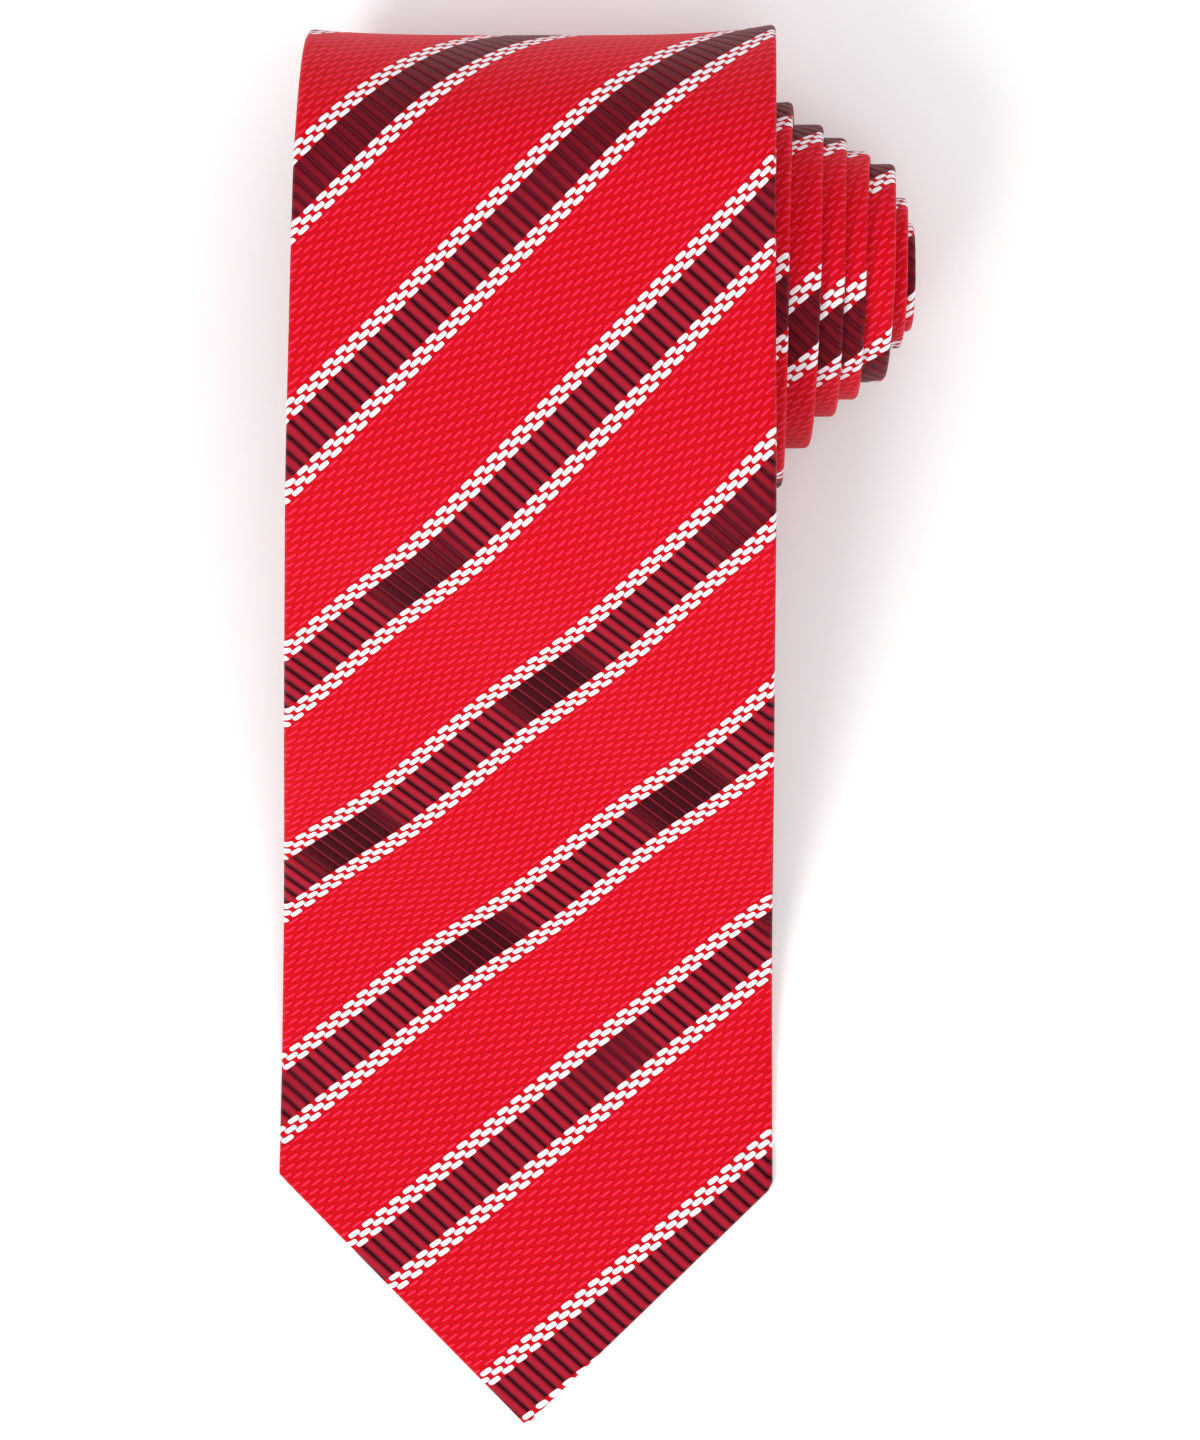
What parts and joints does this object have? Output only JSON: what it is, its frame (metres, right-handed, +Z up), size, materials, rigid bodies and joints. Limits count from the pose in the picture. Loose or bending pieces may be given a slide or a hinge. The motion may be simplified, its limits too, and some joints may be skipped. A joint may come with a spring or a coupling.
{
  "type": "necktie",
  "caption": "Striped woven necktie rolled up from its narrow end, with its pointed wide blade laid out over the roll and down to the table.",
  "frame": {"origin": "on the table, under the middle of the flat strip that the roll rests on", "axes": "+X along the roll's axis, towards the side where the inner turns step out; +Y away from the blade's tip; +Z up"},
  "size_m": [0.1154, 0.251, 0.0671],
  "materials": {
    "shell": "satin",
    "interlining": "matte",
    "tipping": "satin",
    "thread": "matte",
    "label": "satin",
    "care_label": "satin"
  },
  "bodies": {
    "roll": {"front_panel_roll": "shell", "interlining_roll": "interlining", "slip_stitch_roll": "thread"},
    "blade_upper": {"front_panel_upper": "shell", "interlining_upper": "interlining", "slip_stitch_upper": "thread", "front_bar_tack": "thread", "maker_label": "label", "maker_label_stitch_left": "thread", "maker_label_stitch_right": "thread", "care_label": "care_label", "keeper_loop": "shell", "keeper_tack_left": "thread", "keeper_tack_right": "thread"},
    "blade_lower": {"front_panel_lower": "shell", "interlining_lower": "interlining", "front_tipping_lower": "tipping"},
    "blade_tip": {"front_panel_tip": "shell", "interlining_tip": "interlining", "front_tipping_tip": "tipping"},
    "core": {"neck_panel": "shell", "tail_panel": "shell", "interlining_core": "interlining", "slip_stitch_core": "thread", "tail_tipping": "tipping", "tail_bar_tack": "thread"}
  },
  "joints": [
    {"name": "blade_lift", "type": "hinge", "parent": "roll", "child": "blade_upper", "pos_m": [0, -0.01997, 0.06705], "axis": [-1, 0, 0], "range_deg": [0, 100]},
    {"name": "blade_curl", "type": "hinge", "parent": "blade_upper", "child": "blade_lower", "pos_m": [0, -0.09514, 0.02623], "axis": [-1, 0, 0], "range_deg": [0, 70]},
    {"name": "tip_curl", "type": "hinge", "parent": "blade_lower", "child": "blade_tip", "pos_m": [0, -0.15661, 0.0021], "axis": [-1, 0, 0], "range_deg": [0, 60]},
    {"name": "core_slide", "type": "slide", "parent": "roll", "child": "core", "axis": [1, 0, 0], "range_m": [-0.012, 0.015]}
  ]
}
